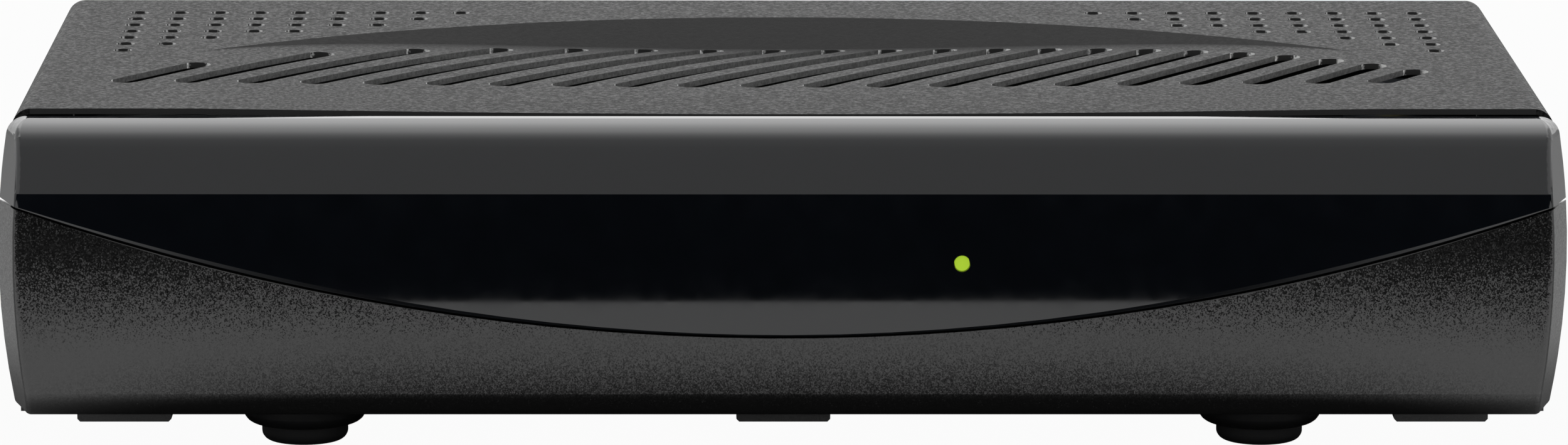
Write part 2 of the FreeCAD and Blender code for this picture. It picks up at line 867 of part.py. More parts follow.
def top_cover():
    outside = bent_block("cover_outside", half_cover, s.cover_top, s.bend_radius,
                         cover_front, cover_rear, s.cover_bottom)
    inside = bent_block("cover_inside", half_cover - s.sheet, s.cover_top - s.sheet,
                        s.bend_radius - s.sheet, cover_front - 1, cover_rear - s.sheet,
                        s.cover_bottom - 1)
    below = box("cover_below_lip", s.sheet - half_cover, cover_rear - 2 * s.sheet,
                s.cover_bottom - 1, s.cover_width - 2 * s.sheet, 4 * s.sheet,
                s.cover_top - s.rear_lip - s.cover_bottom + 1)
    slits = [box("cover_slit", x, cover_rear - 2 * s.sheet, s.cover_top - s.rear_lip - 1,
                 s.lip_slit, 4 * s.sheet, s.rear_lip + 1 - s.bend_radius)
             for x in (s.sheet - half_cover, half_cover - s.sheet - s.lip_slit)]
    flat = cut("cover_flat", outside, [inside, below] + slits)
    upper = feature("dish_above", dish_shape())
    lower = feature("dish_below", dish_shape().translated(Vector(0, 0, -s.sheet.value)))
    reach = box("dish_limit", -half_cover + s.sheet, cover_front, s.cover_top - 4 * s.dish_rear_depth,
                s.cover_width - 2 * s.sheet, s.cover_depth, 4 * s.dish_rear_depth)
    pressed = fuse("cover_pressed", [flat, common("dish_under", [lower, reach])])
    dished = cut("cover_dished", pressed, [upper])
    slots = feature("slot_punches", slot_punches())
    tools = [slots, vent_punches()]
    tools += side_screw_holes("cover_screw_hole", s.screw_shank + 4 * s.fit,
                              half_cover - 2 * s.sheet, 3 * s.sheet)
    tools += [cylinder("lip_screw_hole", x, cover_rear - 2 * s.sheet, z,
                       s.screw_shank + 4 * s.fit, 3 * s.sheet, "Y") for x, z in lip_screw_places()]
    result = dished
    for tool in tools:
        result = cut("cover_stage", result, [tool])
    return result


# --- chassis tray --------------------------------------------------------------------------

foot_places = [
    (x, depth(y))
    for x in (s.foot_inset - flange_half, flange_half - s.foot_inset)
    for y in (s.foot_front, s.foot_rear)
]
coax_places = [coax_first, coax_first + s.coax_pitch]
phono_places = [phono_first + index * s.phono_pitch for index in range(3)]
hdmi_low = board_high
scart_low = board_high


def rear_windows():
    """Openings in the rear wall, each one clearance larger than what passes through."""
    gap = 2 * s.fit
    start, through = wall_inner - 1, s.sheet + 2
    tools = [cylinder("coax_hole", x, start, s.coax_height, s.coax_shank + gap, through, "Y")
             for x in coax_places]
    tools += [cylinder("phono_window", x, start, s.phono_height, s.phono_shell + 2 + gap,
                       through, "Y") for x in phono_places]
    for label, place, low, width, height in (
            ("hdmi_window", hdmi_place, hdmi_low, s.hdmi_width, s.hdmi_height),
            ("scart_window", scart_place, scart_low, s.scart_width, s.scart_height)):
        tools.append(middle_box(label, place, start, low - s.fit, width + gap, through,
                                height + gap))
    tools.append(middle_box("inlet_window", inlet_place, start,
                            s.inlet_centre - s.inlet_height / 2 - s.fit,
                            s.inlet_width + gap, through, s.inlet_height + gap))
    tools.append(middle_box("switch_window", switch_place, start,
                            s.switch_centre - s.switch_body_height / 2 - s.fit,
                            s.switch_body_width + gap, through, s.switch_body_height + gap))
    return tools


def round_bottom(thing, radius):
    """Round the lowest edge of an upright turned piece."""
    doc.recompute()
    edges = thing.Shape.Edges
    lowest = min(range(len(edges)), key=lambda place: edges[place].BoundBox.ZMax)
    rounded = doc.addObject("Part::Fillet", unique(thing.Label + "_round"))
    rounded.Base = thing
    rounded.Edges = [(lowest + 1, radius.value, radius.value)]
    return rounded


def foot_boss(x, y):
    """A pressed cup under the tray that carries one foot."""
    cup = cone("foot_boss", x, y, s.foot_height, s.boss_diameter - 2 * s.boss_draft,
               s.boss_diameter, s.tray_bottom - s.foot_height)
    return round_bottom(cup, s.boss_round)


def foot_hollow(x, y):
    inner = s.boss_diameter - 2 * s.sheet
    hollow = cone("boss_hollow", x, y, s.foot_height + s.sheet, inner - 2 * s.boss_draft, inner,
                  s.tray_bottom - s.foot_height)
    return round_bottom(hollow, s.boss_round - s.sheet)


def chassis_tray():
    length = wall_outer - tray_front
    lead = depth(s.tray_lead)
    floor = box("tray_floor", -flange_half, tray_front, s.tray_bottom, 2 * flange_half, length,
                s.sheet)
    tongue = box("tray_tongue", -hook_spread - s.hook_width, lead, s.tray_bottom,
                 2 * (hook_spread + s.hook_width), tray_front - lead, s.sheet)
    parts = [floor, tongue]
    for x in (-flange_half, flange_half - s.sheet):
        parts.append(box("tray_flange", x, tray_front, s.tray_bottom, s.sheet, length,
                         s.flange_height))
    parts.append(bent_block("rear_wall", flange_half, s.rear_wall_top, s.bend_radius - s.sheet,
                            wall_inner, wall_outer, s.tray_bottom))
    hem_half = flange_half - s.bend_radius
    parts.append(box("rear_hem", -hem_half, wall_outer - s.tray_hem, s.rear_wall_top - s.sheet,
                     2 * hem_half, s.tray_hem, s.sheet))
    parts += [foot_boss(x, y) for x, y in foot_places]
    solid = fuse("tray_solid", parts)
    tools = [foot_hollow(x, y) for x, y in foot_places]
    tools += [cylinder("stem_hole", x, y, s.foot_height - 1, s.foot_stem + 2 * s.fit,
                       s.sheet + 2) for x, y in foot_places]
    tools += [middle_box("hook_notch", x, lead - 1, s.tray_bottom - 1,
                         s.hook_width + 2 * s.notch_gap,
                         depth(s.hook_front + s.hook_thickness + s.notch_gap) - lead + 1,
                         s.sheet + 2) for x in hook_places]
    tools += rear_windows()
    tools += side_screw_holes("flange_hole", s.screw_shank + 2 * s.fit,
                              flange_half - 2 * s.sheet, 3 * s.sheet)
    tools += [cylinder("wall_screw_hole", x, wall_inner - 1, z, s.screw_shank + 2 * s.fit,
                       s.sheet + 2, "Y") for x, z in lip_screw_places()]
    return cut("chassis_tray", solid, tools)


def rubber_feet():
    feet = []
    for x, y in foot_places:
        disc = cylinder("foot_disc", x, y, 0, s.foot_diameter, s.foot_height)
        pad = fuse("foot_pad", [
            round_bottom(disc, s.foot_edge),
            cylinder("foot_stem", x, y, s.foot_height, s.foot_stem, s.sheet + s.fit),
            cone("foot_head", x, y, s.foot_height + s.sheet + s.fit, s.foot_head, s.foot_stem,
                 s.foot_head_height),
        ])
        feet.append(pad)
    return group("rubber_feet", feet)


# --- fasteners -----------------------------------------------------------------------------

def screw(label, x, y, z, axis, inward):
    """A pan head screw; the head's seat is at x, y, z and the shank runs inward."""
    head = s.screw_head_height
    place = {"X": x, "Y": y, "Z": z}
    seat = place[axis]
    head_start = seat - head if inward > 0 else seat
    shank_start = seat if inward > 0 else seat - s.screw_length
    at = dict(place)
    at[axis] = shank_start
    shank = cylinder(label + "_shank", at["X"], at["Y"], at["Z"], s.screw_shank,
                     s.screw_length, axis)
    at[axis] = head_start
    first, second = (s.screw_head - head, s.screw_head) if inward > 0 else (
        s.screw_head, s.screw_head - head)
    top = cone(label + "_head", at["X"], at["Y"], at["Z"], first, second, head, axis)
    return fuse(label, [shank, top])


def cover_screws():
    screws = []
    for back in (s.cover_screw_front, s.cover_screw_rear):
        screws.append(screw("side_screw", -half_cover, depth(back), s.cover_screw_height, "X", 1))
        screws.append(screw("side_screw", half_cover, depth(back), s.cover_screw_height, "X", -1))
    for x, z in lip_screw_places():
        screws.append(screw("lip_screw", x, cover_rear, z, "Y", -1))
    return group("cover_screws", screws)


main_holes = [
    (main_left + s.hole_inset, depth(s.main_front) + s.hole_inset),
    (main_right - s.hole_inset, depth(s.main_front) + s.hole_inset),
    (main_right - s.hole_inset, main_rear - 4 * s.hole_inset),
    (main_left + s.hole_inset, main_rear - 12 * s.hole_inset),
]
power_holes = [
    (power_left + s.hole_inset, depth(s.power_front) + s.hole_inset),
    (power_right - s.hole_inset, depth(s.power_front) + s.hole_inset),
    (power_right - s.hole_inset, depth(s.power_rear) - s.hole_inset),
    (power_left + s.hole_inset, depth(s.power_rear) - s.hole_inset),
]


def standoffs():
    posts = []
    for x, y in main_holes + power_holes:
        post = cylinder("standoff_post", x, y, tray_floor, s.standoff_diameter, s.standoff_height)
        bore = cylinder("standoff_bore", x, y, tray_floor, s.screw_shank + 2 * s.standoff_wall_gap,
                        s.standoff_height)
        posts.append(cut("standoff", post, [bore]))
    return group("board_standoffs", posts)


def board_screws():
    screws = [screw("board_screw", x, y, board_high, "Z", -1) for x, y in main_holes + power_holes]
    rear = front_board_front + s.board
    screws += [screw("front_board_screw", x, rear, z, "Y", -1) for x, z in post_places]
    return group("board_screws", screws)


# --- main board ----------------------------------------------------------------------------

def main_board():
    holes = [(x, y, s.screw_shank + 2 * s.fit) for x, y in main_holes]
    return plate("main_board", main_left, main_right, depth(s.main_front), main_rear,
                 board_low, s.board, holes)


board_middle = (main_left + main_right) / 2
chip_place = (board_middle + s.chip_offset, depth(s.main_front) + 1.4 * s.chip_size)


def signal_chip():
    x, y = chip_place
    return middle_box("signal_chip", x, y, board_high, s.chip_size, s.chip_size, s.chip_height)


def chip_heat_sink():
    """A base plate with straight fins on the signal chip."""
    x, y = chip_place
    low = board_high + s.chip_height
    near = y + s.chip_size / 2 - s.sink_size / 2
    parts = [middle_box("sink_base", x, near, low, s.sink_size, s.sink_size, s.sink_base)]
    count = int(s.fin_count.value)
    pitch = (s.sink_size - s.fin_thickness) / (count - 1)
    for index in range(count):
        parts.append(box("sink_fin", x - s.sink_size / 2 + index * pitch, near, low + s.sink_base,
                         s.fin_thickness, s.sink_size, s.sink_height - s.sink_base))
    return fuse("chip_heat_sink", parts)


def memory_chips():
    x, y = chip_place
    chips = [middle_box("memory_chip", x + shift, y + s.chip_size / 4, board_high, s.chip_size / 2,
                        0.7 * s.chip_size, s.chip_height / 2)
             for shift in (-1.5 * s.chip_size, 1.5 * s.chip_size)]
    return group("memory_chips", chips)


def small_capacitors():
    """Round aluminium cans standing on the main board."""
    front_row = [(12, 40, 6.3, 8.0), (22, 40, 6.3, 8.0), (36, 38, 8.0, 11.5), (50, 38, 8.0, 11.5)]
    right_group = [(13, 58, 6.3, 8.0), (13, 70, 8.0, 11.5), (25, 82, 5.0, 8.0), (11, 84, 5.0, 8.0)]
    cans = [cylinder("small_can", main_left + x, depth(y), board_high, diameter, height)
            for x, y, diameter, height in front_row]
    cans += [cylinder("small_can", main_right - x, depth(y), board_high, diameter, height)
             for x, y, diameter, height in right_group]
    return group("small_capacitors", cans)


def can_block(label, inset, low, high):
    rear = wall_inner - s.board_rear_gap
    return box(label, can_left + inset, rear - s.can_depth + inset, low, s.can_width - 2 * inset,
               s.can_depth - 2 * inset, high - low)


def tuner_can():
    """Open-topped tinned box round the tuner, with holes for the two antenna connectors."""
    high = board_high + s.can_height
    outside = can_block("can_outside", 0, board_high, high)
    inside = can_block("can_inside", s.can_sheet, board_high + s.can_sheet, high + 1)
    holes = [cylinder("can_hole", x, wall_inner - 4, s.coax_height, s.coax_shank + 2 * s.fit,
                      6, "Y") for x in coax_places]
    return cut("tuner_can", outside, [inside] + holes)


def tuner_lid():
    """Press-on lid with a row of cooling slots."""
    high = board_high + s.can_height
    lid = can_block("lid_plate", 0, high, high + s.can_sheet)
    rear = wall_inner - s.board_rear_gap
    slots = [box("lid_slot", can_left + s.can_width / 6, rear - s.can_depth + (index + 1) * 7.0,
                 high - 1, 2 * s.can_width / 3, 2.0, s.can_sheet + 2) for index in range(5)]
    return cut("tuner_lid", lid, slots)


# --- rear connectors -----------------------------------------------------------------------

def coax_connectors():
    """Two threaded antenna connectors that pass from the tuner through the rear wall."""
    connectors = []
    rear = wall_inner - s.board_rear_gap
    start = rear - s.can_sheet - 2
    shank_end = wall_outer + s.washer_thickness + s.nut_thickness + s.run_out
    for x in coax_places:
        barrel = cylinder("coax_barrel", x, start, s.coax_height, s.coax_thread,
                          cover_rear + s.coax_reach - start, "Y")
        shank = cylinder("coax_shank", x, start, s.coax_height, s.coax_shank, shank_end - start,
                         "Y")
        flange = cylinder("coax_flange", x, start, s.coax_height, s.coax_thread + 3, 2, "Y")
        bore = cylinder("coax_bore", x, cover_rear + s.coax_reach - 8, s.coax_height,
                        s.coax_bore, 10, "Y")
        body = cut("coax_body", fuse("coax_blank", [barrel, shank, flange]), [bore])
        core = cut("coax_core", cylinder("coax_plug", x, cover_rear + s.coax_reach - 8,
                                         s.coax_height, s.coax_bore, 7, "Y"),
                   [cylinder("coax_eye", x, cover_rear + s.coax_reach - 4, s.coax_height, 1.0,
                             5, "Y")])
        connectors.append(fuse("coax_connector", [body, core]))
    return group("antenna_connectors", connectors)


def coax_ring(label, x, outer, start, thickness, six_sided):
    maker = hexagon if six_sided else cylinder
    ring = maker(label + "_blank", x, start, s.coax_height, outer, thickness, "Y")
    hole = cylinder(label + "_hole", x, start - 1, s.coax_height, s.coax_shank + s.fit,
                    thickness + 2, "Y")
    return cut(label, ring, [hole])


def coax_washers():
    return group("antenna_washers", [
        coax_ring("coax_washer", x, s.washer_diameter, wall_outer, s.washer_thickness, False)
        for x in coax_places])


def coax_nuts():
    return group("antenna_nuts", [
        coax_ring("coax_nut", x, s.nut_across, wall_outer + s.washer_thickness, s.nut_thickness,
                  True) for x in coax_places])


def shell_socket(label, place, low, width, height, length, tongue_height):
    """A metal shelled socket: an open-mouthed shell with a tongue inside."""
    mouth = wall_outer + s.socket_proud
    start = mouth - length
    wall = 0.5
    outside = middle_box(label + "_outside", place, start, low, width, length, height)
    inside = middle_box(label + "_inside", place, start + 2, low + wall, width - 2 * wall,
                        length, height - 2 * wall)
    shell = cut(label + "_shell", outside, [inside])
    tongue = middle_box(label + "_tongue", place, start + 1, low + height / 2 - tongue_height / 2,
                        width - 4, length - 2.5, tongue_height)
    return fuse(label, [shell, tongue])


def scart_socket():
    """Black block with two rows of contact slots inside a shaped groove."""
    mouth = wall_outer + s.socket_proud
    start = mouth - s.scart_length
    block = middle_box("scart_block", scart_place, start, scart_low, s.scart_width,
                       s.scart_length, s.scart_height)
    tools = []
    middle = scart_low + s.scart_height / 2
    for row, count in ((1, 10), (-1, 10)):
        for index in range(count):
            shift = (index - (count - 1) / 2) * s.scart_pitch + row * s.scart_pitch / 4
            low = middle + row * s.scart_slot_height / 1.4 - s.scart_slot_height / 2
            tools.append(middle_box("scart_slot", scart_place + shift, mouth - 10, low,
                                    s.scart_slot, 11, s.scart_slot_height))
    outline_out = middle_box("scart_groove_outer", scart_place, mouth - 9,
                             scart_low + 1.0, s.scart_width - 2.4, 10, s.scart_height - 2)
    outline_in = middle_box("scart_groove_inner", scart_place, mouth - 10,
                            scart_low + 1.8, s.scart_width - 4, 12, s.scart_height - 3.6)
    tools.append(cut("scart_groove", outline_out, [outline_in]))
    return cut("scart_socket", block, tools)


def phono_block():
    """One insulating block behind the rear wall that carries the three phono sockets."""
    block = box("phono_body", phono_left, wall_inner - s.phono_block,
                board_high, phono_row, s.phono_block,
                s.phono_height + s.phono_block / 2 - board_high)
    holes = [cylinder("phono_bore", x, wall_inner - s.phono_block + 2, s.phono_height,
                      s.phono_neck + s.fit, s.phono_block, "Y") for x in phono_places]
    return cut("phono_block", block, holes)


def phono_core(label, x):
    """Coloured insulating core with the contact hole and a collar on the rear wall."""
    start = wall_inner - s.phono_block + 2
    core = cylinder(label + "_core", x, start, s.phono_height, s.phono_core,
                    wall_outer + s.phono_reach - 0.4 - start, "Y")
    collar = cylinder(label + "_collar", x, wall_inner, s.phono_height, s.phono_shell + 2,
                      s.sheet + 1.6, "Y")
    passage = cylinder(label + "_passage", x, wall_inner - 1, s.phono_height,
                       s.phono_neck + s.fit, s.sheet + 4, "Y")
    ring = cut(label + "_ring", collar, [passage])
    hole = cylinder(label + "_hole", x, wall_outer - 4, s.phono_height, s.phono_hole, 20, "Y")
    return group(label, [cut(label + "_bored", core, [hole]), ring])


def phono_shells():
    """The three outer contact sleeves, each with a narrower neck inside the collar."""
    sleeves = []
    start = wall_inner - s.phono_block + 2
    shoulder = wall_inner + s.sheet + 1.6 + s.run_out
    for x in phono_places:
        neck = cylinder("sleeve_neck", x, start, s.phono_height, s.phono_neck, shoulder - start,
                        "Y")
        outer = cylinder("sleeve_outer", x, shoulder, s.phono_height, s.phono_shell,
                         wall_outer + s.phono_reach - shoulder, "Y")
        inner = cylinder("sleeve_inner", x, start - 1, s.phono_height, s.phono_core + s.fit,
                         s.phono_block + 40, "Y")
        sleeves.append(cut("phono_sleeve", fuse("sleeve_blank", [neck, outer]), [inner]))
    return group("phono_sleeves", sleeves)


# --- mains side ----------------------------------------------------------------------------

def mains_inlet():
    """Two-pin inlet: a block with a figure-eight cavity that opens to the rear."""
    mouth = wall_outer + 2 * s.socket_proud
    low = s.inlet_centre - s.inlet_height / 2
    block = middle_box("inlet_block", inlet_place, mouth - s.inlet_length, low, s.inlet_width,
                       s.inlet_length, s.inlet_height)
    rim = middle_box("inlet_rim", inlet_place, wall_outer, low - s.inlet_rim, inlet_outside,
                     2 * s.socket_proud, s.inlet_height + 2 * s.inlet_rim)
    round_ = s.inlet_cavity_height
    start = mouth - s.inlet_cavity_depth
    spread = (s.inlet_cavity_width - round_) / 2
    cavity = [cylinder("inlet_lobe", inlet_place + side * spread, start, s.inlet_centre, round_,
                       s.inlet_cavity_depth + 1, "Y") for side in (-1, 1)]
    cavity.append(middle_box("inlet_waist", inlet_place, start,
                             s.inlet_centre - 0.42 * round_, 2 * spread,
                             s.inlet_cavity_depth + 1, 0.84 * round_))
    holes = [cylinder("inlet_pin_hole", inlet_place + side * s.pin_pitch / 2,
                      mouth - s.inlet_length - 1, s.inlet_centre, s.pin_diameter + s.fit,
                      s.inlet_length, "Y") for side in (-1, 1)]
    return cut("mains_inlet", fuse("inlet_solid", [block, rim]), cavity + holes)


def inlet_pins():
    mouth = wall_outer + 2 * s.socket_proud
    start = mouth - s.inlet_length - 3
    end = mouth - s.inlet_cavity_depth + s.pin_length
    return group("inlet_pins", [
        cylinder("inlet_pin", inlet_place + side * s.pin_pitch / 2, start, s.inlet_centre,
                 s.pin_diameter, end - start, "Y") for side in (-1, 1)])


pivot_y = wall_outer + s.bezel_thickness / 2


def switch_housing():
    """Mains switch frame: a bezel on the rear wall and a hollow body behind it."""
    bezel = middle_box("switch_bezel", switch_place, wall_outer,
                       s.switch_centre - s.bezel_height / 2, s.bezel_width, s.bezel_thickness,
                       s.bezel_height)
    body = middle_box("switch_body", switch_place, wall_outer - s.switch_body_depth,
                      s.switch_centre - s.switch_body_height / 2, s.switch_body_width,
                      s.switch_body_depth, s.switch_body_height)
    tall = 2 * (s.rocker_half + 0.9)
    cavity = middle_box("switch_cavity", switch_place, wall_outer - s.switch_body_depth + 2,
                        s.switch_centre - tall / 2, s.rocker_width + 2 * s.rocker_gap,
                        s.switch_body_depth + s.bezel_thickness, tall)
    across = s.rocker_width + 2 * (s.rocker_gap + s.pivot_length)
    bearing = cylinder("pivot_bearing", switch_place - across / 2, pivot_y, s.switch_centre,
                       s.pivot_diameter + 2 * s.pivot_gap, across, "X")
    return cut("switch_housing", fuse("switch_solid", [bezel, body]), [cavity, bearing])


def switch_rocker():
    """The rocker, drawn at its ON tilt, with its two pivot stubs."""
    half, rise, valley, root = s.rocker_half, s.rocker_rise, s.rocker_valley, s.rocker_root
    shape = [(rise, half), (valley, 0), (rise, -half), (1, -half), (-root, -0.3 * half),
             (-root, 0.3 * half), (1, half)]
    turn = math.radians(s.rocker_throw.value / 2)
    corners = []
    for out, up in shape:
        across = out * math.cos(turn) + up * math.sin(-turn)
        above = out * math.sin(turn) + up * math.cos(turn)
        corners.append((pivot_y + across, s.switch_centre + above))
    start = switch_place - s.rocker_width / 2
    paddle = padded("rocker_paddle", "YZ_Plane", start, corners, s.rocker_width)
    stub = s.pivot_length + s.rocker_gap - s.pivot_gap
    pins = cylinder("rocker_pin", start - stub, pivot_y, s.switch_centre, s.pivot_diameter,
                    s.rocker_width + 2 * stub, "X")
    return fuse("switch_rocker", [paddle, pins])


def switch_terminals():
    base = wall_outer - s.switch_body_depth
    return group("switch_terminals", [
        middle_box("switch_terminal", switch_place, base - 6, s.switch_centre + shift, 4.8, 6, 0.8)
        for shift in (-6.5, 0.0, 6.5)])


# --- power board ---------------------------------------------------------------------------

def power_board():
    holes = [(x, y, s.screw_shank + 2 * s.fit) for x, y in power_holes]
    return plate("power_board", power_left, power_right, depth(s.power_front),
                 depth(s.power_rear), board_low, s.board, holes)


def insulating_sheet():
    edge = s.hole_inset * 2
    return box("insulating_sheet", power_left + edge, depth(s.power_front) + 1, tray_floor,
               power_right - power_left - 2 * edge, s.power_rear - s.power_front - 2, 0.4)


def bulk_capacitor():
    return cylinder("bulk_capacitor", power_right - s.bulk_diameter / 2 - 1.5, depth(75.5),
                    board_high, s.bulk_diameter, s.bulk_height)


transformer_middle = power_left + 25
transformer_near = depth(43)


def transformer_core():
    """Two legs and two bars of ferrite round the winding."""
    low = board_high + 3
    bars = [middle_box("core_bar", transformer_middle, transformer_near + back, low, 24, 5, 18)
            for back in (0, 17)]
    legs = [middle_box("core_leg", transformer_middle + side, transformer_near + 5, low, 4, 12, 18)
            for side in (-10, 10)]
    return fuse("transformer_core", bars + legs)


def transformer_winding():
    coil = middle_box("coil_block", transformer_middle, transformer_near + 5, board_high + 2.6,
                      15.8, 12, 20)
    foot = middle_box("coil_foot", transformer_middle, transformer_near + 1, board_high, 20, 20, 3)
    return fuse("transformer_winding", [coil, foot])


def power_heat_sink():
    """Upright aluminium plate with a folded top."""
    x = power_left + 2
    upright = box("power_sink_plate", x, depth(42), board_high, 2, 24, 26)
    fold = box("power_sink_fold", x, depth(42), board_high + 24, 8, 24, 2)
    return fuse("power_heat_sink", [upright, fold])


def power_transistor():
    x = power_left + 4
    body = box("transistor_body", x, depth(50), board_high + 6, 4.4, 10, 15)
    legs = [box("transistor_leg", x + 2, depth(50) + shift, board_high, 0.6, 0.8, 6.5)
            for shift in (2.0, 4.6, 7.2)]
    return fuse("power_transistor", [body] + legs)


def mains_choke():
    """A winding frame on a base near the inlet."""
    x, low = power_left + 15, board_high
    base = middle_box("choke_base", x, depth(67), low, 18, 11, 2)
    frame = middle_box("choke_frame", x, depth(69.5), low + 2, 18, 6, 14)
    hole = middle_box("choke_hole", x, depth(69), low + 6, 10, 7, 6)
    return fuse("mains_choke", [base, cut("choke_ring", frame, [hole])])


def safety_capacitor():
    return middle_box("safety_capacitor", power_left + 15, depth(79), board_high, 15, 5, 11)


def mains_fuse():
    """Glass tube fuse between two end caps."""
    x, y, z = power_left + 13, depth(88), board_high + 4
    tube = cylinder("fuse_tube", x, y, z, 4.8, 12, "X")
    caps = [cylinder("fuse_cap", x + shift, y, z, 5.2, 4, "X") for shift in (-4, 12)]
    legs = [box("fuse_leg", x + shift, y - 0.4, board_high, 0.8, 0.8, 4) for shift in (-2, 14)]
    return fuse("mains_fuse", [tube] + caps + legs)


def output_capacitors():
    return group("output_capacitors", [
        cylinder("output_can", power_left + x, depth(36), board_high, 10, 16)
        for x in (12.0, 22.5, 33.0)])


# --- wiring --------------------------------------------------------------------------------

def swept_flat(label, points, width, thickness):
    """A flat cable: straight runs of even thickness in a vertical plane, folded at the corners."""
    parts = []
    for (y1, z1), (y2, z2) in zip(points, points[1:]):
        low_y = min(y1, y2) - thickness / 2
        low_z = min(z1, z2) - thickness / 2
        parts.append((low_y, low_z, abs(y2 - y1) + thickness, abs(z2 - z1) + thickness))
    solids = [Part.makeBox(width, run, rise, Vector(0, y, z)) for y, z, run, rise in parts]
    whole = solids[0]
    for solid in solids[1:]:
        whole = whole.fuse(solid)
    return feature(label, whole.removeSplitter())


def ribbon_cable():
    """Flat cable from the front board down to the main board."""
    rear = (front_board_front + s.board).value
    landing = depth(s.main_front + 6).value
    level = board_high.value
    drop = s.front_board_low.value + 6
    points = [(rear + 0.4, drop), (rear + 3.0, drop), (rear + 3.0, level + 5.0),
              (landing, level + 5.0), (landing, level + 0.4)]
    cable = swept_flat("ribbon_cable", points, 12.0, 0.8)
    cable.Placement = Placement(Vector(s.front_board_left.value + 14.0, 0, 0), Rotation())
    return cable


def power_wires():
    """Wires from the power board across to the main board."""
    wires = []
    high = board_high + 5
    left, right = main_right - 9, power_left + 3
    for index in range(4):
        y = depth(34) + index * 1.6
        run = cylinder("wire_run", left, y, high, 1.3, right - left, "X")
        ends = [cylinder("wire_drop", x, y, board_high, 1.3, 5) for x in (left, right)]
        joints = []
        for x in (left, right):
            joint = doc.addObject("Part::Sphere", unique("wire_bend"))
            bind(joint, "Radius", 0.65)
            joints.append(put(joint, x, y, high))
        wires.append(fuse("power_wire", [run] + ends + joints))
    return group("power_wires", wires)


def build():
    shell_upper = feature("fascia_shell", fascia_shell())
    parts = {
        "front_window": front_window(shell_upper),
        "lower_fascia": lower_fascia(shell_upper),
        "front_carrier": front_carrier(),
        "light_pipe": light_pipe(),
        "front_board": front_board(),
        "status_led": status_led(),
        "infrared_receiver": remote_eye(),
        "top_cover": top_cover(),
        "chassis_tray": chassis_tray(),
        "rubber_feet": rubber_feet(),
        "cover_screws": cover_screws(),
        "board_standoffs": standoffs(),
        "board_screws": board_screws(),
        "main_board": main_board(),
        "signal_chip": signal_chip(),
        "chip_heat_sink": chip_heat_sink(),
        "memory_chips": memory_chips(),
        "small_capacitors": small_capacitors(),
        "tuner_can": tuner_can(),
        "tuner_lid": tuner_lid(),
        "antenna_connectors": coax_connectors(),
        "antenna_washers": coax_washers(),
        "antenna_nuts": coax_nuts(),
        "hdmi_socket": shell_socket("hdmi_socket", hdmi_place, hdmi_low, s.hdmi_width,
                                    s.hdmi_height, s.hdmi_length, 1.2),
        "scart_socket": scart_socket(),
        "phono_block": phono_block(),
        "phono_core_red": phono_core("phono_core_red", phono_places[0]),
        "phono_core_white": phono_core("phono_core_white", phono_places[1]),
        "phono_core_orange": phono_core("phono_core_orange", phono_places[2]),
        "phono_sleeves": phono_shells(),
        "mains_inlet": mains_inlet(),
        "inlet_pins": inlet_pins(),
        "switch_housing": switch_housing(),
        "switch_rocker": switch_rocker(),
        "switch_terminals": switch_terminals(),
        "power_board": power_board(),
        "insulating_sheet": insulating_sheet(),
        "bulk_capacitor": bulk_capacitor(),
        "transformer_core": transformer_core(),
        "transformer_winding": transformer_winding(),
        "power_heat_sink": power_heat_sink(),
        "power_transistor": power_transistor(),
        "mains_choke": mains_choke(),
        "safety_capacitor": safety_capacitor(),
        "mains_fuse": mains_fuse(),
        "output_capacitors": output_capacitors(),
        "ribbon_cable": ribbon_cable(),
        "power_wires": power_wires(),
    }
    doc.recompute()
    return parts


def check(parts):
    """Stop on any failed object, on a cut that cuts nothing and on a bad shape."""
    for thing in doc.Objects:
        if "Invalid" in thing.State or "Error" in thing.State:
            raise RuntimeError("failed: " + thing.Label)
        if thing.TypeId == "Part::Cut" and thing.Shape.Volume >= thing.Base.Shape.Volume - 1e-6:
            raise RuntimeError("cuts nothing: " + thing.Label)
    for node, thing in parts.items():
        if thing.Shape.isNull() or not thing.Shape.isValid() or not thing.Shape.Solids:
            raise RuntimeError("bad shape: " + node)


parts = build()
for node, thing in parts.items():
    thing.Label = node
check(parts)
os.makedirs("parts", exist_ok=True)
for node, thing in parts.items():
    thing.Shape.exportStep("parts/%s.step" % node)
    bounds = thing.Shape.BoundBox
    print("%-22s solids %2d  volume %9.1f  x %.1f..%.1f  y %.1f..%.1f  z %.1f..%.1f" % (
        node, len(thing.Shape.Solids), thing.Shape.Volume, bounds.XMin, bounds.XMax,
        bounds.YMin, bounds.YMax, bounds.ZMin, bounds.ZMax))
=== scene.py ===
"""Satellite receiver, dressed for rendering. Metres, same frame as the CAD."""
import json
import math

import bpy
from mathutils import Matrix, Vector

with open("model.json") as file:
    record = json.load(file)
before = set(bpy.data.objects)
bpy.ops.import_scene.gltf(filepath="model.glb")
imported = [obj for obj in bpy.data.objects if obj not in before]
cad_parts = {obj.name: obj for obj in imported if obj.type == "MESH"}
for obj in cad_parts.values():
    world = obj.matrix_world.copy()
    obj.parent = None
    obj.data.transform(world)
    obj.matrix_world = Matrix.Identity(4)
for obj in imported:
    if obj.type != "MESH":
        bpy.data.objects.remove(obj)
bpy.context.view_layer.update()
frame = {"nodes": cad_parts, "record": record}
nodes = frame["nodes"]


# --- camera ---------------------------------------------------------------------------------

CAMERA_PLACE = (-0.0129, -1.1398, 0.2285)
# degrees: down from the level, to the right of straight back, and round the line of sight
CAMERA_TURNS = (10.209, 0.682, 0.137)
CAMERA_LENS = 181.22
CAMERA_SENSOR = 36.0
CAMERA_CLIP = (0.05, 50.0)


